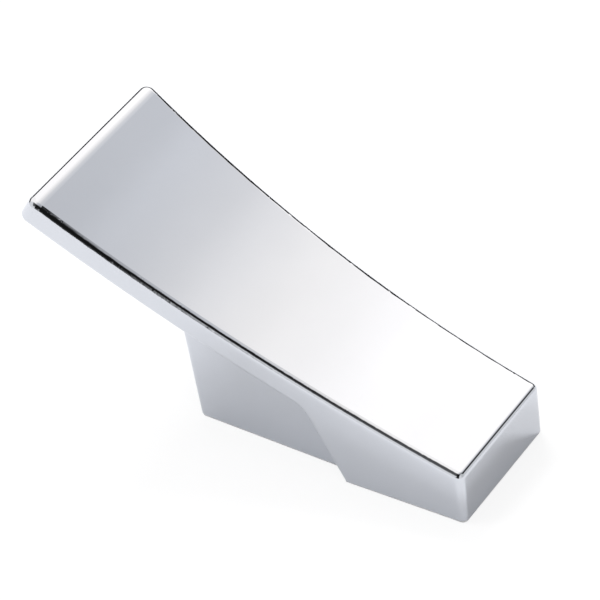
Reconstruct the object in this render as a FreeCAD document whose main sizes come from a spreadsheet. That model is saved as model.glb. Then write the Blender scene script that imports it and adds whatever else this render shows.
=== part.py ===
import FreeCAD, Part
import math
import os

import Sketcher

# Sash lift handle: a flared, chrome-plated finger lift that drops over a steel bracket
# screwed to the sash and is locked to it by one grub screw under the lip.
#
# Frame: millimetres, +Z out of the sash, +X towards the low heel, the lip rises towards -X.
# The origin is the middle of the base, on the face that meets the sash.

DIMENSIONS = [
    # base and pad
    ("base_length", 49.0),
    ("pad_thick", 0.5),
    ("pad_inset", 0.25),
    ("pad_opening_gap", 0.2),
    ("pad_corner", 0.8),
    ("pad_flare", 0.6),
    # lift plate, seen from the side
    ("heel_height", 9.6),
    ("tip_reach", 70.1),
    ("tip_height", 40.2),
    ("top_curve", 233.4),
    ("plate_thick", 4.7),
    ("roll_curve", 6.5),
    ("roll_length", 2.3),
    ("top_round", 1.0),
    ("under_round", 0.8),
    # lift plate, seen from above
    ("heel_half_width", 11.35),
    ("flare_reach", 74.0),
    ("flare_half_width", 16.3),
    ("flare_curve", 800.0),
    ("tip_corner", 1.5),
    ("heel_corner", 1.2),
    ("trim_spare", 4.0),
    ("trim_past", 2.0),
    # base block under the heel
    ("block_length", 21.1),
    ("block_lean", 65.0),
    ("arch_round", 5.0),
    # foot set in under the plate
    ("foot_width", 19.3),
    ("foot_lean", 3.4),
    ("foot_overlap", 18.0),
    ("foot_corner", 1.2),
    ("foot_root", 1.0),
    # core that is open to the back
    ("heel_wall", 2.8),
    ("end_wall", 3.6),
    ("roof_wall", 3.0),
    ("core_width", 13.4),
    ("core_corner", 0.8),
    ("mouth_drop", 1.0),
    # pressed steel bracket
    ("strip_width", 12.0),
    ("strip_thick", 2.0),
    ("heel_lug_gap", 0.15),
    ("heel_lug_height", 5.8),
    ("end_lug_height", 9.0),
    ("bend_inner", 0.8),
    ("bend_outer", 2.0),
    ("lug_corner", 2.0),
    ("hole_pitch", 25.0),
    ("hole_dia", 4.2),
    ("sink_dia", 6.6),
    # grub screw
    ("grub_dia", 4.0),
    ("grub_bore", 4.1),
    ("grub_length", 5.0),
    ("grub_height", 5.5),
    ("grub_recess", 0.5),
    ("grub_bearing_gap", 0.05),
    ("grub_chamfer", 0.4),
    ("socket_flats", 2.0),
    ("socket_depth", 2.0),
    ("thread_pitch", 0.7),
    ("thread_depth", 0.35),
    ("thread_mouth", 0.56),
    ("thread_start", 1.0),
    ("thread_count", 5.0),
]

SIZE = dict(DIMENSIONS)
NODES = {}

# first guesses, in mm, that the sketch solver corrects
BLOCK_RISE_GUESS = 14.0
FOOT_HEIGHT_GUESS = 24.0
# an edge that climbs more than this, in mm, counts as upright
UPRIGHT = 2.5
# x range and z range, in mm, that hold one straight edge to be rounded
ARCH_ZONE = ((-8.0, 2.0), (8.0, 16.0))
ROOT_ZONE = ((-26.8, -24.8), (18.0, 26.0))


def make_sheet(doc):
    """Write every driving dimension to the sheet under its own alias."""
    sheet = doc.addObject("Spreadsheet::Sheet", "dims")
    for row, (alias, number) in enumerate(DIMENSIONS, start=1):
        sheet.set("A%d" % row, alias)
        sheet.set("B%d" % row, str(number))
        sheet.setAlias("B%d" % row, alias)
    doc.recompute()
    return sheet


def new_body(doc, label):
    """Start a named piece."""
    body = doc.addObject("PartDesign::Body", label)
    body.Label = label
    body.Placement = FreeCAD.Placement()
    NODES[label] = body
    return body


def new_sketch(body, name, role, lift=None):
    """Attach a sketch to one of the body's own origin planes, raised by an expression if given."""
    plane = [item for item in body.Origin.OriginFeatures if item.Role == role][0]
    sketch = body.newObject("Sketcher::SketchObject", name)
    sketch.AttachmentSupport = [(plane, "")]
    sketch.MapMode = "FlatFace"
    if lift:
        sketch.setExpression("AttachmentOffset.Base.z", lift)
    return sketch


def spot(across, up):
    return FreeCAD.Vector(across, up, 0)


def line(sketch, start, end):
    return sketch.addGeometry(Part.LineSegment(spot(*start), spot(*end)), False)


def arc(sketch, centre, radius, start, end):
    """Counter-clockwise arc about a centre, between the directions of two points."""
    first = math.atan2(start[1] - centre[1], start[0] - centre[0])
    last = math.atan2(end[1] - centre[1], end[0] - centre[0])
    ring = Part.Circle(spot(*centre), FreeCAD.Vector(0, 0, 1), radius)
    return sketch.addGeometry(Part.ArcOfCircle(ring, first, last), False)


def circle(sketch, centre, radius, construction=False):
    ring = Part.Circle(spot(*centre), FreeCAD.Vector(0, 0, 1), radius)
    return sketch.addGeometry(ring, construction)


def tie(sketch, kind, *references):
    sketch.addConstraint(Sketcher.Constraint(kind, *references))


def drive(sketch, name, formula, kind, *references):
    """Add a dimension and bind it to the sheet."""
    index = sketch.addConstraint(Sketcher.Constraint(kind, *references))
    sketch.renameConstraint(index, name)
    sketch.setExpression("Constraints." + name, formula)


def join_chain(sketch, ends):
    """Tie the end of each edge to the start of the next; ends holds (edge, start, end)."""
    for this, following in zip(ends, ends[1:]):
        tie(sketch, "Coincident", this[0], this[2], following[0], following[1])


def join_loop(sketch, ends):
    join_chain(sketch, ends + ends[:1])


def centre_of_top():
    """Centre of the arc that the top of the plate follows, in the side view."""
    heel = (SIZE["base_length"] / 2, SIZE["heel_height"])
    tip = (heel[0] - SIZE["tip_reach"], SIZE["tip_height"])
    across = tip[0] - heel[0]
    up = tip[1] - heel[1]
    chord = math.hypot(across, up)
    rise = math.sqrt(SIZE["top_curve"] ** 2 - (chord / 2) ** 2)
    middle = ((heel[0] + tip[0]) / 2, (heel[1] + tip[1]) / 2)
    return (middle[0] + rise * up / chord, middle[1] - rise * across / chord)


def end_of_plate():
    """Where the top of the plate starts to roll over, where it meets the end face, and the arc's centre."""
    centre = centre_of_top()
    top = SIZE["top_curve"]
    roll = SIZE["roll_curve"]
    length = SIZE["roll_length"]
    corner = (SIZE["base_length"] / 2 - SIZE["tip_reach"], SIZE["tip_height"])
    at_end = math.atan2(corner[1] - centre[1], corner[0] - centre[0])
    at_start = at_end + length / top
    start = polar(centre, top, at_start)
    middle = polar(centre, top + roll, at_start)
    finish = polar(centre, top + length ** 2 / (2 * roll), at_end)
    return start, finish, middle


def polar(centre, radius, angle):
    return (centre[0] + radius * math.cos(angle), centre[1] + radius * math.sin(angle))


def on_ring(centre, radius, across):
    """Lower point of a circle at a given distance across."""
    return (across, centre[1] - math.sqrt(radius ** 2 - (across - centre[0]) ** 2))


def edges_where(feature, wanted):
    """Names of the edges of a feature whose two ends and middle pass a test."""
    names = []
    for index, edge in enumerate(feature.Shape.Edges, start=1):
        middle = edge.valueAt((edge.FirstParameter + edge.LastParameter) / 2)
        ends = [vertex.Point for vertex in edge.Vertexes]
        if len(ends) == 2 and wanted(ends[0], ends[1], middle):
            names.append("Edge%d" % index)
    return names


def along_width(start, end):
    """True for an edge that runs straight across the handle."""
    return abs(start.x - end.x) < 0.01 and abs(start.z - end.z) < 0.01


def round_edges(doc, body, name, radius, wanted):
    """Fillet the edges of the body's tip feature that pass a test."""
    base = body.Tip
    names = edges_where(base, wanted)
    if not names:
        raise RuntimeError("no edge found for " + name)
    fillet = body.newObject("PartDesign::Fillet", name)
    fillet.Base = (base, names)
    fillet.setExpression("Radius", radius)
    doc.recompute()
    return fillet


def near(value, target, margin=0.05):
    return abs(value - target) < margin


def upright(start, end):
    return abs(start.z - end.z) > UPRIGHT


def in_zone(point, zone):
    (left, right), (low, high) = zone
    return left < point.x < right and low < point.z < high


# ---------------------------------------------------------------- handle casting

def side_profile(body):
    """Side view of the plate and the block under its heel."""
    half = SIZE["base_length"] / 2
    pad = SIZE["pad_thick"]
    centre = centre_of_top()
    top = SIZE["top_curve"]
    under = top + SIZE["plate_thick"]
    lean = math.radians(SIZE["block_lean"])

    heel_low = (half, pad)
    heel_top = (half, SIZE["heel_height"])
    tip_top = (half - SIZE["tip_reach"], SIZE["tip_height"])
    grow = under / top
    tip_low = tuple(mid + (end - mid) * grow for mid, end in zip(centre, tip_top))
    roll_start, roll_end, roll_middle = end_of_plate()
    block_low = (half - SIZE["block_length"], pad)
    block_top = on_ring(centre, under, block_low[0] - BLOCK_RISE_GUESS * math.cos(lean))

    sketch = new_sketch(body, "side_profile", "XZ_Plane")
    heel = line(sketch, heel_low, heel_top)
    crown = arc(sketch, centre, top, roll_start, heel_top)
    roll = arc(sketch, roll_middle, SIZE["roll_curve"], roll_start, roll_end)
    end = line(sketch, roll_end, tip_low)
    belly = arc(sketch, centre, under, tip_low, block_top)
    face = line(sketch, block_top, block_low)
    base = line(sketch, block_low, heel_low)
    chain = [(roll, 1, 2), (end, 1, 2), (belly, 1, 2), (face, 1, 2), (base, 1, 2)]
    chain += [(heel, 1, 2), (crown, 2, 1)]
    join_chain(sketch, chain)
    tie(sketch, "Vertical", heel)
    tie(sketch, "Horizontal", base)
    tie(sketch, "Coincident", crown, 3, belly, 3)
    tie(sketch, "PointOnObject", crown, 3, end)
    corner = sketch.addGeometry(Part.Point(spot(*tip_top)), True)
    tie(sketch, "PointOnObject", corner, 1, crown)
    tie(sketch, "PointOnObject", corner, 1, end)
    tie(sketch, "Tangent", crown, 1, roll, 1)
    drive(sketch, "heel_out", "dims.base_length / 2", "DistanceX", -1, 1, heel, 1, half)
    drive(sketch, "above_pad", "dims.pad_thick", "DistanceY", -1, 1, heel, 1, pad)
    drive(sketch, "heel_height", "dims.heel_height", "DistanceY", -1, 1, heel, 2, heel_top[1])
    drive(sketch, "tip_reach", "dims.tip_reach", "DistanceX", corner, 1, heel, 2, SIZE["tip_reach"])
    drive(sketch, "tip_height", "dims.tip_height", "DistanceY", -1, 1, corner, 1, tip_top[1])
    drive(sketch, "roll_curve", "dims.roll_curve", "Radius", roll, SIZE["roll_curve"])
    drive(sketch, "roll_length", "dims.roll_length", "Distance", roll, 1, roll, 2, SIZE["roll_length"])
    drive(sketch, "top_curve", "dims.top_curve", "Radius", crown, top)
    drive(sketch, "under_curve", "dims.top_curve + dims.plate_thick", "Radius", belly, under)
    drive(sketch, "block_length", "dims.block_length",
          "DistanceX", base, 1, heel, 1, SIZE["block_length"])
    drive(sketch, "block_lean", "180deg - dims.block_lean * 1deg",
          "Angle", base, 1, face, 2, math.pi - lean)
    return sketch


def flare_trims(body):
    """Plan view of what is cut away on each side, leaving sides that flare towards the tip."""
    heel = SIZE["base_length"] / 2
    far = heel - SIZE["flare_reach"]
    narrow = SIZE["heel_half_width"]
    wide = SIZE["flare_half_width"]
    chord = math.hypot(SIZE["flare_reach"], wide - narrow)
    rise = math.sqrt(SIZE["flare_curve"] ** 2 - (chord / 2) ** 2)
    slope = ((wide - narrow) / chord, SIZE["flare_reach"] / chord)
    middle = ((heel + far) / 2, (narrow + wide) / 2)
    centre = (middle[0] + rise * slope[0], middle[1] + rise * slope[1])
    out = wide + SIZE["trim_spare"]
    past = heel + SIZE["trim_past"]

    sketch = new_sketch(body, "flare_trims", "XY_Plane")
    for side in (1, -1):
        # on the mirrored side the arc runs the other way round
        sweep = [(far, side * wide), (heel, side * narrow)][::side]
        curve = arc(sketch, (centre[0], side * centre[1]), SIZE["flare_curve"], *sweep)
        wide_end, narrow_end = (1, 2)[::side]
        lead = line(sketch, (heel, side * narrow), (past, side * narrow))
        rim = line(sketch, (past, side * narrow), (past, side * out))
        edge = line(sketch, (past, side * out), (far, side * out))
        back = line(sketch, (far, side * out), (far, side * wide))
        loop = [(curve, wide_end, narrow_end), (lead, 1, 2), (rim, 1, 2), (edge, 1, 2), (back, 1, 2)]
        join_loop(sketch, loop)
        tie(sketch, "Horizontal", lead)
        tie(sketch, "Vertical", rim)
        tie(sketch, "Horizontal", edge)
        tie(sketch, "Vertical", back)
        tag = "near" if side < 0 else "far"
        drive(sketch, "heel_" + tag, "dims.base_length / 2", "DistanceX", -1, 1, lead, 1, heel)
        drive(sketch, "reach_" + tag, "dims.flare_reach", "DistanceX", back, 2, lead, 1, heel - far)
        drive(sketch, "curve_" + tag, "dims.flare_curve", "Radius", curve, SIZE["flare_curve"])
        drive(sketch, "past_" + tag, "dims.trim_past", "DistanceX", lead, 1, lead, 2, past - heel)
        for name, formula, item, number in (
            ("narrow_", "dims.heel_half_width", (lead, 1), narrow),
            ("wide_", "dims.flare_half_width", (back, 2), wide),
            ("out_", "dims.flare_half_width + dims.trim_spare", (back, 1), out),
        ):
            ends = (-1, 1) + item if side > 0 else item + (-1, 1)
            drive(sketch, name + tag, formula, "DistanceY", *ends, number)
    return sketch


def foot_profile(body):
    """Side view of the foot; its top is buried half way into the plate."""
    half = SIZE["base_length"] / 2
    pad = SIZE["pad_thick"]
    centre = centre_of_top()
    buried = SIZE["top_curve"] + SIZE["plate_thick"] / 2
    lean = math.radians(SIZE["foot_lean"])
    low = (-half, pad)
    high = on_ring(centre, buried, -half - FOOT_HEIGHT_GUESS * math.tan(lean))
    inner_x = half - SIZE["foot_overlap"]
    inner_top = on_ring(centre, buried, inner_x)

    sketch = new_sketch(body, "foot_profile", "XZ_Plane")
    end = line(sketch, low, high)
    roof = arc(sketch, centre, buried, high, inner_top)
    inner = line(sketch, inner_top, (inner_x, pad))
    base = line(sketch, (inner_x, pad), low)
    join_loop(sketch, [(end, 1, 2), (roof, 1, 2), (inner, 1, 2), (base, 1, 2)])
    tie(sketch, "Horizontal", base)
    tie(sketch, "Vertical", inner)
    drive(sketch, "end_out", "dims.base_length / 2", "DistanceX", end, 1, -1, 1, half)
    drive(sketch, "above_pad", "dims.pad_thick", "DistanceY", -1, 1, end, 1, pad)
    drive(sketch, "inner_edge", "dims.base_length / 2 - dims.foot_overlap",
          "DistanceX", -1, 1, inner, 2, inner_x)
    drive(sketch, "roof_curve", "dims.top_curve + dims.plate_thick / 2", "Radius", roof, buried)
    drive(sketch, "foot_lean", "90deg + dims.foot_lean * 1deg",
          "Angle", base, 2, end, 1, math.pi / 2 + lean)
    centre_ties(sketch, roof, centre)
    return sketch


def centre_ties(sketch, curve, centre):
    """Hold an arc's centre on the centre of the top curve, worked out from the sheet."""
    chord = "sqrt(dims.tip_reach ^ 2 + (dims.tip_height - dims.heel_height) ^ 2)"
    rise = "sqrt(dims.top_curve ^ 2 - (" + chord + ") ^ 2 / 4)"
    across = (
        "(dims.base_length - dims.tip_reach) / 2 + " + rise
        + " * (dims.tip_height - dims.heel_height) / " + chord
    )
    up = (
        "(dims.heel_height + dims.tip_height) / 2 + " + rise
        + " * dims.tip_reach / " + chord
    )
    drive(sketch, "centre_across", across, "DistanceX", -1, 1, curve, 3, centre[0])
    drive(sketch, "centre_up", up, "DistanceY", -1, 1, curve, 3, centre[1])


def core_profile(body):
    """Side view of the core: it is open to the back and its roof follows the plate."""
    half = SIZE["base_length"] / 2
    centre = centre_of_top()
    roof_radius = SIZE["top_curve"] + SIZE["roof_wall"]
    left = -half + SIZE["end_wall"]
    right = half - SIZE["heel_wall"]
    left_top = on_ring(centre, roof_radius, left)
    right_top = on_ring(centre, roof_radius, right)
    below = -SIZE["mouth_drop"]

    sketch = new_sketch(body, "core_profile", "XZ_Plane")
    end = line(sketch, (left, below), left_top)
    roof = arc(sketch, centre, roof_radius, left_top, right_top)
    heel = line(sketch, right_top, (right, below))
    mouth = line(sketch, (right, below), (left, below))
    join_loop(sketch, [(end, 1, 2), (roof, 1, 2), (heel, 1, 2), (mouth, 1, 2)])
    tie(sketch, "Vertical", end)
    tie(sketch, "Vertical", heel)
    tie(sketch, "Horizontal", mouth)
    drive(sketch, "end_wall", "dims.base_length / 2 - dims.end_wall",
          "DistanceX", end, 1, -1, 1, -left)
    drive(sketch, "heel_wall", "dims.base_length / 2 - dims.heel_wall",
          "DistanceX", -1, 1, heel, 2, right)
    drive(sketch, "mouth", "dims.mouth_drop", "DistanceY", end, 1, -1, 1, -below)
    drive(sketch, "roof_curve", "dims.top_curve + dims.roof_wall", "Radius", roof, roof_radius)
    centre_ties(sketch, roof, centre)
    return sketch


def make_handle(doc):
    """Plate and block in one profile, flared in plan, then the foot, the core and the bore."""
    body = new_body(doc, "handle_body")
    half = SIZE["base_length"] / 2

    profile = side_profile(body)
    plate = body.newObject("PartDesign::Pad", "plate_pad")
    plate.Profile = profile
    plate.SideType = "Symmetric"
    plate.setExpression("Length", "dims.flare_half_width * 2 + dims.trim_spare")
    doc.recompute()

    # the hollow of the arch, rounded while its edge is still straight
    round_edges(doc, body, "arch_round", "dims.arch_round",
                lambda a, b, m: along_width(a, b) and in_zone(m, ARCH_ZONE))

    trims = flare_trims(body)
    flare = body.newObject("PartDesign::Pocket", "flare_pocket")
    flare.Profile = trims
    flare.SideType = "Symmetric"
    flare.setExpression("Length", "dims.tip_height * 3")
    doc.recompute()

    # corners first, then the loop round the top and the loop round the underside
    tip_x = half - SIZE["tip_reach"]
    roll_end = end_of_plate()[1]
    under_z = SIZE["tip_height"] - SIZE["plate_thick"] / 2
    round_edges(doc, body, "tip_corner", "dims.tip_corner",
                lambda a, b, m: upright(a, b) and a.y * b.y > 0 and max(a.x, b.x) < tip_x + 0.1)
    round_edges(doc, body, "heel_corner", "dims.heel_corner",
                lambda a, b, m: upright(a, b) and a.y * b.y > 0 and min(a.x, b.x) > half - 0.1)
    round_edges(doc, body, "top_round", "dims.top_round",
                lambda a, b, m: along_width(a, b) and near(m.x, roll_end[0]) and m.z > under_z)
    round_edges(doc, body, "under_round", "dims.under_round",
                lambda a, b, m: along_width(a, b) and m.x < tip_x - 1 and m.z < under_z)

    foot = body.newObject("PartDesign::Pad", "foot_pad")
    foot.Profile = foot_profile(body)
    foot.SideType = "Symmetric"
    foot.setExpression("Length", "dims.foot_width")
    doc.recompute()
    side = SIZE["foot_width"] / 2
    round_edges(doc, body, "foot_corner", "dims.foot_corner",
                lambda a, b, m: upright(a, b) and near(abs(m.y), side) and m.x < -half + 0.1)
    round_edges(doc, body, "foot_root", "dims.foot_root",
                lambda a, b, m: along_width(a, b) and in_zone(m, ROOT_ZONE))

    core = body.newObject("PartDesign::Pocket", "core_pocket")
    core.Profile = core_profile(body)
    core.SideType = "Symmetric"
    core.setExpression("Length", "dims.core_width")
    doc.recompute()
    core_side = SIZE["core_width"] / 2
    round_edges(doc, body, "core_corner", "dims.core_corner",
                lambda a, b, m: upright(a, b) and near(abs(m.y), core_side) and near(a.x, b.x))

    bore_plane = "-dims.base_length / 2 + dims.end_wall / 2"
    bore_sketch = new_sketch(body, "grub_bore_circle", "YZ_Plane", bore_plane)
    ring = circle(bore_sketch, (0, SIZE["grub_height"]), SIZE["grub_bore"] / 2)
    tie(bore_sketch, "PointOnObject", ring, 3, -2)
    drive(bore_sketch, "bore_height", "dims.grub_height",
          "DistanceY", -1, 1, ring, 3, SIZE["grub_height"])
    drive(bore_sketch, "bore_dia", "dims.grub_bore", "Diameter", ring, SIZE["grub_bore"])
    bore = body.newObject("PartDesign::Pocket", "grub_bore")
    bore.Profile = bore_sketch
    bore.SideType = "Symmetric"
    bore.setExpression("Length", "dims.end_wall * 3")
    doc.recompute()
    return body


# ---------------------------------------------------------------- backing pad

def make_pad(doc):
    """Thin ring between the casting's rim and the sash."""
    body = new_body(doc, "backing_pad")
    inset = SIZE["pad_inset"]
    half = SIZE["base_length"] / 2
    heel = half - inset
    step = half - SIZE["block_length"] + inset
    end = -half + inset
    heel_side = SIZE["heel_half_width"] - inset
    step_side = heel_side + SIZE["pad_flare"]
    foot_side = SIZE["foot_width"] / 2 - inset

    sketch = new_sketch(body, "pad_outline", "XY_Plane")
    corners = [
        (heel, -heel_side), (heel, heel_side), (step, step_side), (step, foot_side),
        (end, foot_side), (end, -foot_side), (step, -foot_side), (step, -step_side),
    ]
    rim = [line(sketch, a, b) for a, b in zip(corners, corners[1:] + corners[:1])]
    join_loop(sketch, [(edge, 1, 2) for edge in rim])
    for index in (2, 6):
        tie(sketch, "Vertical", rim[index])
    for index in (3, 5):
        tie(sketch, "Horizontal", rim[index])
    for index in (0, 4):
        tie(sketch, "Symmetric", rim[index], 1, rim[index], 2, -1)
    tie(sketch, "Symmetric", rim[2], 1, rim[6], 2, -1)
    drive(sketch, "heel_out", "dims.base_length / 2 - dims.pad_inset",
          "DistanceX", -1, 1, rim[0], 1, heel)
    drive(sketch, "end_out", "dims.base_length / 2 - dims.pad_inset",
          "DistanceX", rim[4], 1, -1, 1, -end)
    drive(sketch, "step_at", "dims.base_length / 2 - dims.block_length + dims.pad_inset",
          "DistanceX", -1, 1, rim[2], 1, step)
    drive(sketch, "heel_wide", "2 * (dims.heel_half_width - dims.pad_inset)",
          "DistanceY", rim[0], 1, rim[0], 2, 2 * heel_side)
    drive(sketch, "step_wide", "2 * (dims.heel_half_width - dims.pad_inset + dims.pad_flare)",
          "DistanceY", rim[6], 2, rim[2], 1, 2 * step_side)
    drive(sketch, "foot_wide", "dims.foot_width - 2 * dims.pad_inset",
          "DistanceY", rim[4], 2, rim[4], 1, 2 * foot_side)
    disc = body.newObject("PartDesign::Pad", "pad_sheet")
    disc.Profile = sketch
    disc.setExpression("Length", "dims.pad_thick")
    doc.recompute()
    round_edges(doc, body, "pad_corner", "dims.pad_corner",
                lambda a, b, m: abs(a.z - b.z) > 0.3 and (m.x > half - 1 or m.x < -half + 1))

    gap = SIZE["pad_opening_gap"]
    left = -half + SIZE["end_wall"] - gap
    right = half - SIZE["heel_wall"] + gap
    side = SIZE["core_width"] / 2 + gap
    window = new_sketch(body, "pad_window", "XY_Plane")
    corners = [(right, -side), (right, side), (left, side), (left, -side)]
    rim = [line(window, a, b) for a, b in zip(corners, corners[1:] + corners[:1])]
    join_loop(window, [(edge, 1, 2) for edge in rim])
    tie(window, "Vertical", rim[2])
    for index in (1, 3):
        tie(window, "Horizontal", rim[index])
    tie(window, "Symmetric", rim[0], 1, rim[0], 2, -1)
    drive(window, "right_at", "dims.base_length / 2 - dims.heel_wall + dims.pad_opening_gap",
          "DistanceX", -1, 1, rim[0], 1, right)
    drive(window, "left_at", "dims.base_length / 2 - dims.end_wall + dims.pad_opening_gap",
          "DistanceX", rim[2], 1, -1, 1, -left)
    drive(window, "wide", "dims.core_width + 2 * dims.pad_opening_gap",
          "DistanceY", rim[0], 1, rim[0], 2, 2 * side)
    cut = body.newObject("PartDesign::Pocket", "pad_window_cut")
    cut.Profile = window
    cut.SideType = "Symmetric"
    cut.setExpression("Length", "dims.pad_thick * 4")
    doc.recompute()
    return body


# ---------------------------------------------------------------- fixing bracket

def make_bracket(doc):
    """Strip with an upturned lug at each end and two countersunk holes."""
    body = new_body(doc, "fixing_bracket")
    half = SIZE["base_length"] / 2
    thick = SIZE["strip_thick"]
    right = half - SIZE["heel_wall"] - SIZE["heel_lug_gap"]
    left = -half + SIZE["grub_recess"] + SIZE["grub_length"] + SIZE["grub_bearing_gap"]
    left_text = "dims.base_length / 2 - dims.grub_recess - dims.grub_length - dims.grub_bearing_gap"
    right_text = "dims.base_length / 2 - dims.heel_wall - dims.heel_lug_gap"
    low = SIZE["heel_lug_height"]
    tall = SIZE["end_lug_height"]

    sketch = new_sketch(body, "strip_profile", "XZ_Plane")
    corners = [
        (left, 0), (right, 0), (right, low), (right - thick, low),
        (right - thick, thick), (left + thick, thick), (left + thick, tall), (left, tall),
    ]
    rim = [line(sketch, a, b) for a, b in zip(corners, corners[1:] + corners[:1])]
    join_loop(sketch, [(edge, 1, 2) for edge in rim])
    for index in (0, 2, 4, 6):
        tie(sketch, "Horizontal", rim[index])
    for index in (1, 3, 5, 7):
        tie(sketch, "Vertical", rim[index])
    tie(sketch, "PointOnObject", rim[0], 1, -1)
    drive(sketch, "left_at", left_text, "DistanceX", rim[0], 1, -1, 1, -left)
    drive(sketch, "right_at", right_text, "DistanceX", -1, 1, rim[0], 2, right)
    drive(sketch, "heel_lug", "dims.heel_lug_height", "DistanceY", rim[1], 1, rim[1], 2, low)
    drive(sketch, "end_lug", "dims.end_lug_height", "DistanceY", rim[7], 2, rim[7], 1, tall)
    drive(sketch, "heel_thick", "dims.strip_thick", "DistanceX", rim[2], 2, rim[2], 1, thick)
    drive(sketch, "end_thick", "dims.strip_thick", "DistanceX", rim[6], 2, rim[6], 1, thick)
    drive(sketch, "floor_thick", "dims.strip_thick", "DistanceY", rim[0], 1, rim[5], 1, thick)
    strip = body.newObject("PartDesign::Pad", "strip_pad")
    strip.Profile = sketch
    strip.SideType = "Symmetric"
    strip.setExpression("Length", "dims.strip_width")
    doc.recompute()
    round_edges(doc, body, "inner_bends", "dims.bend_inner",
                lambda a, b, m: along_width(a, b) and near(m.z, thick) and left < m.x < right)
    round_edges(doc, body, "outer_bends", "dims.bend_outer",
                lambda a, b, m: along_width(a, b) and near(m.z, 0))
    round_edges(doc, body, "lug_corners", "dims.lug_corner",
                lambda a, b, m: near(abs(a.x - b.x), thick) and near(a.z, b.z) and m.z > thick)

    holes = new_sketch(body, "screw_holes", "XY_Plane", "dims.strip_thick")
    for side in (1, -1):
        ring = circle(holes, (side * SIZE["hole_pitch"] / 2, 0), SIZE["hole_dia"] / 2)
        tag = "heel" if side > 0 else "end"
        tie(holes, "PointOnObject", ring, 3, -1)
        ends = (-1, 1, ring, 3) if side > 0 else (ring, 3, -1, 1)
        drive(holes, "pitch_" + tag, "dims.hole_pitch / 2",
              "DistanceX", *ends, SIZE["hole_pitch"] / 2)
        drive(holes, "dia_" + tag, "dims.hole_dia", "Diameter", ring, SIZE["hole_dia"])
    doc.recompute()
    before = body.Shape.Volume
    hole = body.newObject("PartDesign::Hole", "countersunk_holes")
    hole.Profile = holes
    doc.recompute()
    hole.DepthType = "ThroughAll"
    hole.ThreadType = "None"
    hole.setExpression("Diameter", "dims.hole_dia")
    hole.HoleCutType = "Countersink"
    hole.HoleCutCustomValues = True
    hole.setExpression("HoleCutDiameter", "dims.sink_dia")
    hole.HoleCutCountersinkAngle = 90
    doc.recompute()
    print("bracket holes remove", round(before - body.Shape.Volume, 2), "mm3")
    return body


# ---------------------------------------------------------------- grub screw

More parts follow.
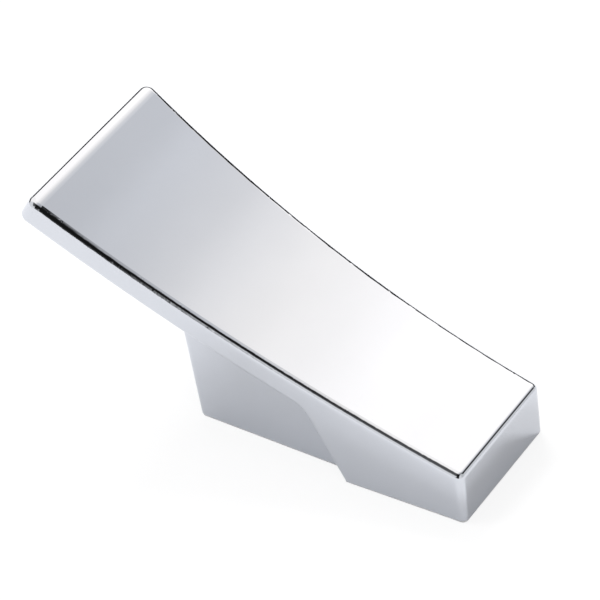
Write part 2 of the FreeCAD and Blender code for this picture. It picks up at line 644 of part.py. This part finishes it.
def make_grub(doc):
    """Set screw along X in the foot, its flat point against the bracket's tall lug."""
    body = new_body(doc, "grub_screw")
    radius = SIZE["grub_dia"] / 2
    length = SIZE["grub_length"]
    outer = -SIZE["base_length"] / 2 + SIZE["grub_recess"]
    height = SIZE["grub_height"]

    outer_plane = "-dims.base_length / 2 + dims.grub_recess"
    disc = new_sketch(body, "screw_circle", "YZ_Plane", outer_plane)
    ring = circle(disc, (0, height), radius)
    tie(disc, "PointOnObject", ring, 3, -2)
    drive(disc, "height", "dims.grub_height", "DistanceY", -1, 1, ring, 3, height)
    drive(disc, "dia", "dims.grub_dia", "Diameter", ring, 2 * radius)
    rod = body.newObject("PartDesign::Pad", "screw_pad")
    rod.Profile = disc
    rod.setExpression("Length", "dims.grub_length")
    doc.recompute()

    # the two end rims are the only closed edges of the rod
    closed = [len(edge.Vertexes) == 1 for edge in rod.Shape.Edges]
    rims = ["Edge%d" % index for index, rim in enumerate(closed, start=1) if rim]
    chamfer = body.newObject("PartDesign::Chamfer", "screw_chamfer")
    chamfer.Base = (rod, rims)
    chamfer.setExpression("Size", "dims.grub_chamfer")
    doc.recompute()

    socket = new_sketch(body, "socket_hexagon", "YZ_Plane", outer_plane)
    across = SIZE["socket_flats"] / math.sqrt(3)
    turn = math.pi / 3
    angles = [turn * index for index in range(6)]
    corners = [(across * math.cos(angle), height + across * math.sin(angle)) for angle in angles]
    sides = [line(socket, a, b) for a, b in zip(corners, corners[1:] + corners[:1])]
    join_loop(socket, [(edge, 1, 2) for edge in sides])
    frame = circle(socket, (0, height), across, construction=True)
    for edge in sides:
        tie(socket, "PointOnObject", edge, 1, frame)
    for edge in sides[1:]:
        tie(socket, "Equal", sides[0], edge)
    tie(socket, "Horizontal", sides[1])
    tie(socket, "PointOnObject", frame, 3, -2)
    drive(socket, "height", "dims.grub_height", "DistanceY", -1, 1, frame, 3, height)
    drive(socket, "corner_circle", "dims.socket_flats / sqrt(3) * 2",
          "Diameter", frame, 2 * across)
    before = body.Shape.Volume
    hexagon = body.newObject("PartDesign::Pocket", "socket_pocket")
    hexagon.Profile = socket
    hexagon.Reversed = True
    hexagon.setExpression("Length", "dims.socket_depth")
    doc.recompute()
    print("socket removes", round(before - body.Shape.Volume, 2), "mm3")

    # one ring groove per turn of thread, repeated along the screw
    notch = new_sketch(body, "thread_notch", "XZ_Plane")
    depth = SIZE["thread_depth"]
    mouth = SIZE["thread_mouth"]
    start = SIZE["thread_start"]
    first = outer + start
    crest = height + radius
    corners = [(first - mouth / 2, crest), (first + mouth / 2, crest), (first, crest - depth)]
    sides = [line(notch, a, b) for a, b in zip(corners, corners[1:] + corners[:1])]
    join_loop(notch, [(edge, 1, 2) for edge in sides])
    tie(notch, "Horizontal", sides[0])
    tie(notch, "Equal", sides[1], sides[2])
    drive(notch, "crest", "dims.grub_height + dims.grub_dia / 2",
          "DistanceY", -1, 1, sides[0], 1, crest)
    drive(notch, "depth", "dims.thread_depth", "DistanceY", sides[1], 2, sides[1], 1, depth)
    drive(notch, "mouth", "dims.thread_mouth", "DistanceX", sides[0], 1, sides[0], 2, mouth)
    drive(notch, "first", "dims.base_length / 2 - dims.grub_recess - dims.thread_start",
          "DistanceX", sides[1], 2, -1, 1, -first)
    along = Part.LineSegment(spot(outer, height), spot(first + start, height))
    axis = notch.addGeometry(along, True)
    tie(notch, "Horizontal", axis)
    drive(notch, "axis_height", "dims.grub_height", "DistanceY", -1, 1, axis, 1, height)
    drive(notch, "axis_start", "dims.base_length / 2 - dims.grub_recess",
          "DistanceX", axis, 1, -1, 1, -outer)
    drive(notch, "axis_length", "dims.thread_start * 2",
          "DistanceX", axis, 1, axis, 2, 2 * start)
    groove = body.newObject("PartDesign::Groove", "thread_groove")
    groove.Profile = notch
    groove.ReferenceAxis = (notch, ["Axis0"])
    groove.Angle = 360
    doc.recompute()
    rows = body.newObject("PartDesign::LinearPattern", "thread_rows")
    rows.Originals = [groove]
    x_axis = [item for item in body.Origin.OriginFeatures if item.Role == "X_Axis"][0]
    rows.Direction = (x_axis, [""])
    rows.setExpression("Length", "dims.thread_pitch * (dims.thread_count - 1)")
    rows.Occurrences = int(SIZE["thread_count"])
    body.Tip = rows
    doc.recompute()
    return body


# ---------------------------------------------------------------- build and write

def main():
    os.makedirs("parts", exist_ok=True)
    doc = FreeCAD.newDocument("sash_lift_handle")
    make_sheet(doc)
    make_handle(doc)
    make_pad(doc)
    make_bracket(doc)
    make_grub(doc)
    doc.recompute()

    for item in doc.Objects:
        if "Invalid" in item.State or "Error" in item.State:
            raise RuntimeError("failed object: " + item.Label)
    for name, body in NODES.items():
        shape = body.Shape
        if shape.isNull() or not shape.isValid() or len(shape.Solids) != 1:
            raise RuntimeError("bad shape: " + name)
        print(name, "volume", round(shape.Volume, 1), "mm3")
        shape.exportStep("parts/%s.step" % name)


main()
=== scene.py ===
import math

import bpy
from mathutils import Matrix, Vector


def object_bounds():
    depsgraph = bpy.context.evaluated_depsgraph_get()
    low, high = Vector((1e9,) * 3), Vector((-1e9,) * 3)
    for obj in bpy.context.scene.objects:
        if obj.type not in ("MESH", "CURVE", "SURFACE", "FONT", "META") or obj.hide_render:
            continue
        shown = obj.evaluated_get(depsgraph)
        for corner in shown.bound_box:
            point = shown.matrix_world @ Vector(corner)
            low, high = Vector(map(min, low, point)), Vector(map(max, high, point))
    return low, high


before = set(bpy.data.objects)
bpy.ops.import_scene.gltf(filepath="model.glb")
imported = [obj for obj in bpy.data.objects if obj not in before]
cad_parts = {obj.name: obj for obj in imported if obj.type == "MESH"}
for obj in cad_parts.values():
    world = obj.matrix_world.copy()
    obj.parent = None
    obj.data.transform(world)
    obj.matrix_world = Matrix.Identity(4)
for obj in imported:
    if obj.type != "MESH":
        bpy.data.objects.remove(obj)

CAD_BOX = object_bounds()

# ---------------------------------------------------------------- sizes

MM = 0.001

# the camera, in millimetres from the middle of the base, and its three directions
CAMERA_SPOT = (248.55, -326.50, 387.35)
CAMERA_RIGHT = (0.83342876, 0.54283736, -0.10355729)
CAMERA_UP = (-0.29710143, 0.59813395, 0.74428927)
CAMERA_BACK = (0.46596915, -0.58954506, 0.65977979)
CAMERA_LENS = 222.09
CAMERA_SENSOR = 36.0
CAMERA_CLIP = (0.01, 20.0)

# the floor, in metres, a hair under the handle so that the two faces don't meet
FLOOR_RADIUS = 1.6
FLOOR_RINGS = 6
FLOOR_SEGMENTS = 96
FLOOR_DROP = 0.00002

# the casting, in millimetres: the curve of the plate's top, seen from the side, and the core
BASE_LENGTH = 49.0
HEEL_HEIGHT = 9.6
TIP_REACH = 70.1
TIP_HEIGHT = 40.2
TOP_CURVE = 233.4
ROOF_WALL = 3.0
CORE_HALF_WIDTH = 6.7
CORE_LEFT = -20.9
CORE_RIGHT = 21.7
CORE_EDGE = 0.03
CORE_ROOF_EDGE = 0.05

# ---------------------------------------------------------------- finishes

# colours are linear, and noise scales are features per metre
CHROME_DARKER = (0.572, 0.590, 0.628, 1.0)
CHROME_LIGHTER = (0.602, 0.620, 0.658, 1.0)
CHROME_ROUGHNESS = 0.022
HAZE_SCALE = 90.0
HAZE_ROUGHNESS = 0.018
SMUDGE_SCALE = 38.0
SMUDGE_BAND = (0.52, 0.72)
SMUDGE_ROUGHNESS = 0.018
BUFFING_SCALE = (260.0, 2600.0, 260.0)
BUFFING_ROUGHNESS = 0.014
BUFFING_HEIGHT = 0.02
PEEL_SCALE = 320.0
PEEL_HEIGHT = 0.22
CHROME_BUMP = (0.12, 0.00006)

CAST_DARKER = (0.30, 0.305, 0.315, 1.0)
CAST_LIGHTER = (0.47, 0.475, 0.485, 1.0)
CAST_SCALE = 2600.0
CAST_ROUGHNESS = (0.34, 0.16)

ZINC_TONES = [(0.30, (0.50, 0.53, 0.58)), (0.52, (0.60, 0.61, 0.62)), (0.72, (0.62, 0.60, 0.54))]
ZINC_SPOT_COLOUR = (0.36, 0.36, 0.36, 1.0)
ZINC_GRAIN_SCALE = (300.0, 4200.0, 1800.0)
ZINC_CLOUD_SCALE = 140.0
ZINC_SPOT_SCALE = 700.0
ZINC_SPOT_BAND = (0.62, 0.70)
ZINC_SPOT_SHARE = 0.35
ZINC_ROUGHNESS = (0.20, 0.18)
ZINC_SPOT_ROUGHNESS = 0.12
ZINC_BUMP = (0.25, 0.00004)

OXIDE_DARKER = (0.030, 0.031, 0.034, 1.0)
OXIDE_LIGHTER = (0.075, 0.073, 0.072, 1.0)
RUBBED_STEEL = (0.34, 0.34, 0.35, 1.0)
RUBBED_BAND = (0.53, 0.60)
RUBBED_SHARE = 0.55
OXIDE_GRAIN_SCALE = 2400.0
OXIDE_CLOUD_SCALE = 600.0
OXIDE_ROUGHNESS = (0.30, 0.22)
OXIDE_METAL = 0.9
OXIDE_BUMP = (0.3, 0.00003)

FOAM_DARKER = (0.52, 0.53, 0.54, 1.0)
FOAM_LIGHTER = (0.62, 0.62, 0.62, 1.0)
FOAM_EDGE = (0.70, 0.70, 0.70, 1.0)
FOAM_CELL_SCALE = 3200.0
FOAM_CELL_BAND = (0.02, 0.25)
FOAM_TONE_SCALE = 260.0
FOAM_ROUGHNESS = (0.75, 0.15)
FOAM_SPECULAR = 0.25
FOAM_BUMP = (0.5, 0.00005)

FLOOR_DARKER = (0.79, 0.80, 0.82, 1.0)
FLOOR_LIGHTER = (0.81, 0.82, 0.84, 1.0)
FLOOR_TONE_SCALE = 6.0
FLOOR_GLOW = 1.03
FLOOR_GLOW_SHARE = 0.8

# ---------------------------------------------------------------- studio

# The tent is told by direction: x to the right, y to the back, z up. Each pair is where a smooth
# step begins and ends, and each level is a brightness.
ROOF_TOP = 1.8
ROOF_LEVELS = [(0.06, 1.67), (0.10, 1.58), (0.13, 1.49), (0.16, 1.41), (0.185, 1.32), (0.21, 1.22),
               (0.24, 1.05), (0.27, 0.98), (0.295, 0.94), (0.32, 0.86), (0.35, 0.84), (0.42, 0.60),
               (0.47, 0.03)]
ROOF_WARM = (1.012, 0.975, 0.935)
ROOF_COOL = (1.0, 1.005, 1.03)
ROOF_COOLING = (0.17, 0.13)
ROOF_DEPTH = (0.52, 0.64)
ROOF_DEPTH_GAIN = (0.90, 1.10)
ROOF_UNEVEN_SCALE = 9.0
ROOF_UNEVEN = (0.16, 0.92)

BACK_CARD_TOP = (0.42, 0.53)
BACK_CARD_LEVEL = 0.015
RIGHT_WALL_FROM = (0.40, 0.48)
RIGHT_WALL_TOP = (0.48, 0.38)
RIGHT_WALL_LEVEL = 0.92
SKYLIGHT_FROM = (0.48, 0.66)
SKYLIGHT_BACK = (0.46, 0.30)
SKYLIGHT_LEVEL = 0.78

FRONT_WALL_LEVEL = 1.05
FRONT_CARD_FOOT = (0.38, 0.64)
FRONT_CARD_SLOPE = -0.46
FRONT_CARD_SHIFT = 0.06
FRONT_CARD_SLANT = (-0.09, 0.09)
FRONT_CARD_LEFT = (-0.38, -0.22)
FRONT_CARD_RIGHT = (0.72, 0.58)
FRONT_CARD_FADE = (-0.02, 0.26)
FRONT_CARD_LEVELS = (0.13, 0.012)
FRONT_TO_BACK = (-0.32, -0.05)

# name, place in metres, diameter in metres, power in watts
LIGHTS = [
    ("key", (-0.45, 0.42, 0.90), 0.35, 5.1),
    ("left_fill", (-0.75, -0.45, 0.95), 0.5, 5.0),
    ("right_fill", (0.60, -0.55, 0.95), 0.5, 2.9),
]


# ---------------------------------------------------------------- node helpers

class Tree:
    """A short way to write a node tree."""

    def __init__(self, tree):
        self.tree = tree
        tree.nodes.clear()

    def add(self, kind, inputs=None, **settings):
        node = self.tree.nodes.new("ShaderNode" + kind)
        for name, value in settings.items():
            setattr(node, name, value)
        for key, value in (inputs or {}).items():
            socket = node.inputs[key]
            if isinstance(value, bpy.types.NodeSocket):
                self.tree.links.new(value, socket)
            else:
                socket.default_value = value
        return node

    def math(self, operation, first, second=0.0, third=0.0):
        node = self.add("Math", {0: first, 1: second, 2: third}, operation=operation)
        return node.outputs[0]

    def product(self, *values):
        result = values[0]
        for value in values[1:]:
            result = self.math("MULTIPLY", result, value)
        return result

    def smooth(self, value, low, high):
        """0 at low, 1 at high, smooth between; low may be the greater of the two."""
        node = self.add("MapRange", {"Value": value, "From Min": low, "From Max": high},
                        interpolation_type="SMOOTHSTEP")
        return node.outputs["Result"]

    def ramp(self, value, stops):
        node = self.add("ValToRGB", {"Fac": value})
        ramp = node.color_ramp
        while len(ramp.elements) < len(stops):
            ramp.elements.new(0.5)
        for element, (place, colour) in zip(ramp.elements, stops):
            element.position = place
            element.color = (*colour, 1.0)
        return node.outputs["Color"]

    def noise(self, vector, scale, detail=3.0, roughness=0.5, distortion=0.0):
        node = self.add("TexNoise", {"Vector": vector, "Scale": scale, "Detail": detail,
                                     "Roughness": roughness, "Distortion": distortion})
        return node.outputs["Fac"]

    def mix(self, factor, first, second):
        node = self.add("Mix", {0: factor, 6: first, 7: second}, data_type="RGBA")
        return node.outputs[2]

    def blend(self, factor, first, second):
        return self.add("Mix", {0: factor, 2: first, 3: second}, data_type="FLOAT").outputs[0]

    def vary(self, value, base, spread):
        """base plus spread times value."""
        return self.math("MULTIPLY_ADD", value, spread, base)

    def bump(self, height, strength, distance):
        node = self.add("Bump", {"Strength": strength, "Distance": distance, "Height": height})
        return node.outputs[0]

    def place(self):
        return self.add("TexCoord").outputs["Object"]

    def stretched(self, place, scale):
        return self.add("Mapping", {"Vector": place, "Scale": scale}).outputs[0]

    def surface(self, **inputs):
        """A Principled surface, its inputs named with _ for a space."""
        sockets = {name.replace("_", " "): value for name, value in inputs.items()}
        shader = self.add("BsdfPrincipled", sockets)
        self.add("OutputMaterial", {"Surface": shader.outputs[0]})


def new_material(name):
    material = bpy.data.materials.new(name)
    material.use_nodes = True
    return material, Tree(material.node_tree)


def grey(value):
    return (value, value, value, 1.0)


# ---------------------------------------------------------------- materials

def core_mask(tree, place):
    """1 on the faces of the core, inside the casting, and 0 on the polished faces."""
    parts = tree.add("SeparateXYZ", {"Vector": place})
    x, y, z = parts.outputs[0], parts.outputs[1], parts.outputs[2]
    heel = (BASE_LENGTH / 2, HEEL_HEIGHT)
    tip = (heel[0] - TIP_REACH, TIP_HEIGHT)
    across, up = tip[0] - heel[0], tip[1] - heel[1]
    chord = math.hypot(across, up)
    rise = math.sqrt(TOP_CURVE ** 2 - (chord / 2) ** 2)
    centre_x = (heel[0] + tip[0]) / 2 + rise * up / chord
    centre_z = (heel[1] + tip[1]) / 2 - rise * across / chord
    dx = tree.math("SUBTRACT", x, centre_x * MM)
    dz = tree.math("SUBTRACT", z, centre_z * MM)
    radius = tree.math("SQRT", tree.math("ADD", tree.product(dx, dx), tree.product(dz, dz)))
    roof = tree.math("GREATER_THAN", radius, (TOP_CURVE + ROOF_WALL - CORE_ROOF_EDGE) * MM)
    sides = tree.math("LESS_THAN", tree.math("ABSOLUTE", y), (CORE_HALF_WIDTH + CORE_EDGE) * MM)
    left = tree.math("GREATER_THAN", x, (CORE_LEFT - CORE_EDGE) * MM)
    right = tree.math("LESS_THAN", x, (CORE_RIGHT + CORE_EDGE) * MM)
    return tree.product(roof, sides, left, right)


def chrome_material():
    """Bright plating with a little haze; the core keeps the casting's own rough, greyer skin."""
    material, tree = new_material("polished_chrome")
    place = tree.place()
    core = core_mask(tree, place)
    haze = tree.noise(place, HAZE_SCALE, 4.0, 0.55)
    smudge = tree.smooth(tree.noise(place, SMUDGE_SCALE, 2.0, 0.5, 0.6), *SMUDGE_BAND)
    lines = tree.noise(tree.stretched(place, BUFFING_SCALE), 1.0, 2.0, 0.6)
    grain = tree.noise(place, CAST_SCALE, 3.0, 0.6)
    peel = tree.noise(place, PEEL_SCALE, 2.0, 0.5)

    polish = tree.vary(haze, CHROME_ROUGHNESS, HAZE_ROUGHNESS)
    polish = tree.vary(smudge, polish, SMUDGE_ROUGHNESS)
    polish = tree.vary(lines, polish, BUFFING_ROUGHNESS)
    rough = tree.vary(grain, *CAST_ROUGHNESS)
    bright = tree.mix(haze, CHROME_DARKER, CHROME_LIGHTER)
    dull = tree.mix(grain, CAST_DARKER, CAST_LIGHTER)
    soft = tree.vary(lines, tree.product(peel, PEEL_HEIGHT), BUFFING_HEIGHT)
    tree.surface(Base_Color=tree.mix(core, bright, dull), Metallic=1.0,
                 Roughness=tree.blend(core, polish, rough),
                 Normal=tree.bump(tree.blend(core, soft, grain), *CHROME_BUMP))
    return material


def zinc_material():
    """Bright zinc plate on rolled strip: drawn grain, faint colour clouds and dull spots."""
    material, tree = new_material("bright_zinc_plate")
    place = tree.place()
    grain = tree.noise(tree.stretched(place, ZINC_GRAIN_SCALE), 1.0, 4.0, 0.6)
    cloud = tree.noise(place, ZINC_CLOUD_SCALE, 4.0, 0.6, 0.8)
    spots = tree.smooth(tree.noise(place, ZINC_SPOT_SCALE, 2.0, 0.5), *ZINC_SPOT_BAND)
    base = tree.ramp(cloud, ZINC_TONES)
    roughness = tree.vary(spots, tree.vary(grain, *ZINC_ROUGHNESS), ZINC_SPOT_ROUGHNESS)
    tree.surface(Base_Color=tree.mix(tree.product(spots, ZINC_SPOT_SHARE), base, ZINC_SPOT_COLOUR),
                 Metallic=1.0, Roughness=roughness, Normal=tree.bump(grain, *ZINC_BUMP))
    return material


def screw_material():
    """Black oxide on steel, rubbed bright along the edges."""
    material, tree = new_material("black_oxide_steel")
    place = tree.place()
    grain = tree.noise(place, OXIDE_GRAIN_SCALE, 4.0, 0.6)
    cloud = tree.noise(place, OXIDE_CLOUD_SCALE, 3.0, 0.6)
    rubbed = tree.smooth(tree.add("NewGeometry").outputs["Pointiness"], *RUBBED_BAND)
    black = tree.mix(cloud, OXIDE_DARKER, OXIDE_LIGHTER)
    tree.surface(Base_Color=tree.mix(tree.product(rubbed, RUBBED_SHARE), black, RUBBED_STEEL),
                 Metallic=OXIDE_METAL, Roughness=tree.vary(grain, *OXIDE_ROUGHNESS),
                 Normal=tree.bump(grain, *OXIDE_BUMP))
    return material


def foam_material():
    """Closed-cell foam, its cut edge showing fine cells."""
    material, tree = new_material("closed_cell_foam")
    place = tree.place()
    cells = tree.add("TexVoronoi", {"Vector": place, "Scale": FOAM_CELL_SCALE},
                     feature="DISTANCE_TO_EDGE").outputs[0]
    wall = tree.smooth(cells, *FOAM_CELL_BAND)
    tone = tree.noise(place, FOAM_TONE_SCALE, 3.0, 0.5)
    base = tree.mix(tone, FOAM_DARKER, FOAM_LIGHTER)
    tree.surface(Base_Color=tree.mix(wall, FOAM_EDGE, base), Roughness=tree.vary(tone, *FOAM_ROUGHNESS),
                 Normal=tree.bump(wall, *FOAM_BUMP), Specular_IOR_Level=FOAM_SPECULAR)
    return material


def floor_material():
    """Pale and matt; seen directly it is lit a little more than its reflections, as a studio sweep is."""
    material, tree = new_material("pale_floor")
    tone = tree.noise(tree.place(), FLOOR_TONE_SCALE, 3.0, 0.5)
    colour = tree.mix(tone, FLOOR_DARKER, FLOOR_LIGHTER)
    diffuse = tree.add("BsdfDiffuse", {"Color": colour, "Roughness": 0.0})
    glow = tree.add("Emission", {"Color": grey(1.0), "Strength": FLOOR_GLOW})
    seen = tree.product(tree.add("LightPath").outputs["Is Camera Ray"], FLOOR_GLOW_SHARE)
    mixed = tree.add("MixShader", {0: seen, 1: diffuse.outputs[0], 2: glow.outputs[0]})
    tree.add("OutputMaterial", {"Surface": mixed.outputs[0]})
    return material


# ---------------------------------------------------------------- stage

def make_floor():
    """A wide flat disc that the handle stands on."""
    points = [(0.0, 0.0, 0.0)]
    faces = []
    for ring in range(1, FLOOR_RINGS + 1):
        radius = FLOOR_RADIUS * ring / FLOOR_RINGS
        for step in range(FLOOR_SEGMENTS):
            angle = 2 * math.pi * step / FLOOR_SEGMENTS
            points.append((radius * math.cos(angle), radius * math.sin(angle), 0.0))
    for step in range(FLOOR_SEGMENTS):
        following = (step + 1) % FLOOR_SEGMENTS
        faces.append((0, 1 + step, 1 + following))
        for ring in range(FLOOR_RINGS - 1):
            inner = 1 + ring * FLOOR_SEGMENTS
            outer = inner + FLOOR_SEGMENTS
            faces.append((inner + step, outer + step, outer + following, inner + following))
    mesh = bpy.data.meshes.new("floor")
    mesh.from_pydata(points, [], faces)
    floor = bpy.data.objects.new("floor", mesh)
    bpy.context.collection.objects.link(floor)
    mesh.materials.append(floor_material())
    floor.location.z = CAD_BOX[0][2] - FLOOR_DROP


def make_camera():
    data = bpy.data.cameras.new("camera")
    data.lens = CAMERA_LENS
    data.sensor_width = CAMERA_SENSOR
    data.clip_start, data.clip_end = CAMERA_CLIP
    camera = bpy.data.objects.new("camera", data)
    bpy.context.collection.objects.link(camera)
    turn = Matrix((CAMERA_RIGHT, CAMERA_UP, CAMERA_BACK)).transposed().to_4x4()
    camera.matrix_world = Matrix.Translation(Vector(CAMERA_SPOT) * MM) @ turn
    bpy.context.scene.camera = camera


def make_light(name, spot, size, power):
    """A soft disc that lights the floor and shows in no reflection."""
    data = bpy.data.lights.new(name, "AREA")
    data.shape = "DISK"
    data.size = size
    data.energy = power
    light = bpy.data.objects.new(name, data)
    bpy.context.collection.objects.link(light)
    light.location = spot
    light.rotation_euler = (Vector((0, 0, 0)) - Vector(spot)).to_track_quat("-Z", "Y").to_euler()
    light.visible_glossy = False


def roof_stops():
    """Colour of the roof from left to right: warm and bright, then cooler and darker."""
    start, span = ROOF_COOLING
    stops = [(0.0, tuple(channel * ROOF_LEVELS[0][1] / ROOF_TOP for channel in ROOF_WARM))]
    for place, level in ROOF_LEVELS:
        share = min(1.0, max(0.0, (place - start) / span))
        tint = [a + (b - a) * share for a, b in zip(ROOF_WARM, ROOF_COOL)]
        stops.append(((place + 1) / 2, tuple(channel * level / ROOF_TOP for channel in tint)))
    return stops


def make_world():
    """A studio tent: a bright roof that fades to the right, dark cards in front and low behind."""
    world = bpy.data.worlds.new("studio")
    world.use_nodes = True
    bpy.context.scene.world = world
    tree = Tree(world.node_tree)
    toward = tree.add("TexCoord").outputs["Generated"]
    parts = tree.add("SeparateXYZ", {"Vector": toward})
    x, y, z = parts.outputs[0], parts.outputs[1], parts.outputs[2]

    # the roof is brighter further back, and as it is cloth, a little uneven
    across = tree.math("MULTIPLY_ADD", x, 0.5, 0.5)
    deeper = tree.add("MapRange", {"Value": y, "From Min": ROOF_DEPTH[0], "From Max": ROOF_DEPTH[1],
                                   "To Min": ROOF_DEPTH_GAIN[0] * ROOF_TOP,
                                   "To Max": ROOF_DEPTH_GAIN[1] * ROOF_TOP}).outputs["Result"]
    uneven = tree.noise(toward, ROOF_UNEVEN_SCALE, 3.0, 0.55, 0.4)
    uneven = tree.math("MULTIPLY_ADD", uneven, *ROOF_UNEVEN)
    gain = tree.product(deeper, uneven)
    roof = tree.add("VectorMath", {0: tree.ramp(across, roof_stops()), 3: gain}, operation="SCALE").outputs[0]

    # behind: the roof comes down to a dark low card
    behind = tree.mix(tree.smooth(z, *BACK_CARD_TOP), grey(BACK_CARD_LEVEL), roof)
    # to the right the dark card is a narrow one, over a bright low wall
    right = tree.product(tree.smooth(x, *RIGHT_WALL_FROM), tree.smooth(z, *RIGHT_WALL_TOP))
    behind = tree.mix(right, behind, grey(RIGHT_WALL_LEVEL))
    # overhead and to the right the roof is bright again
    above = tree.product(tree.smooth(x, *SKYLIGHT_FROM), tree.smooth(y, *SKYLIGHT_BACK))
    behind = tree.mix(above, behind, grey(SKYLIGHT_LEVEL))

    # in front: a bright low wall, and over it a dark card that comes further down on the right
    high = tree.smooth(z, *FRONT_CARD_FOOT)
    slanted = tree.math("MULTIPLY_ADD", z, FRONT_CARD_SLOPE, tree.math("ADD", x, FRONT_CARD_SHIFT))
    card = tree.math("MAXIMUM", high, tree.smooth(slanted, *FRONT_CARD_SLANT))
    card = tree.product(card, tree.smooth(x, *FRONT_CARD_LEFT), tree.smooth(x, *FRONT_CARD_RIGHT))
    # the card is greyer to the left, where more light reaches it
    left_level, right_level = FRONT_CARD_LEVELS
    cloth = tree.mix(tree.smooth(x, *FRONT_CARD_FADE), grey(left_level), grey(right_level))
    wall = tree.mix(card, grey(FRONT_WALL_LEVEL), cloth)

    tent = tree.mix(tree.smooth(y, *FRONT_TO_BACK), wall, behind)
    studio = tree.add("Background", {"Color": tent, "Strength": 1.0})
    plain = tree.add("Background", {"Color": grey(1.0), "Strength": 1.0})
    seen = tree.add("LightPath").outputs["Is Camera Ray"]
    mixed = tree.add("MixShader", {0: seen, 1: studio.outputs[0], 2: plain.outputs[0]})
    tree.add("OutputWorld", {"Surface": mixed.outputs[0]})


# ---------------------------------------------------------------- scene

def dress(node, material):
    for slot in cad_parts[node].material_slots:
        slot.link = "OBJECT"
        slot.material = material


dress("handle_body", chrome_material())
dress("fixing_bracket", zinc_material())
dress("grub_screw", screw_material())
dress("backing_pad", foam_material())
make_floor()
make_camera()
make_world()
for row in LIGHTS:
    make_light(*row)

bpy.context.scene.view_settings.view_transform = "Standard"
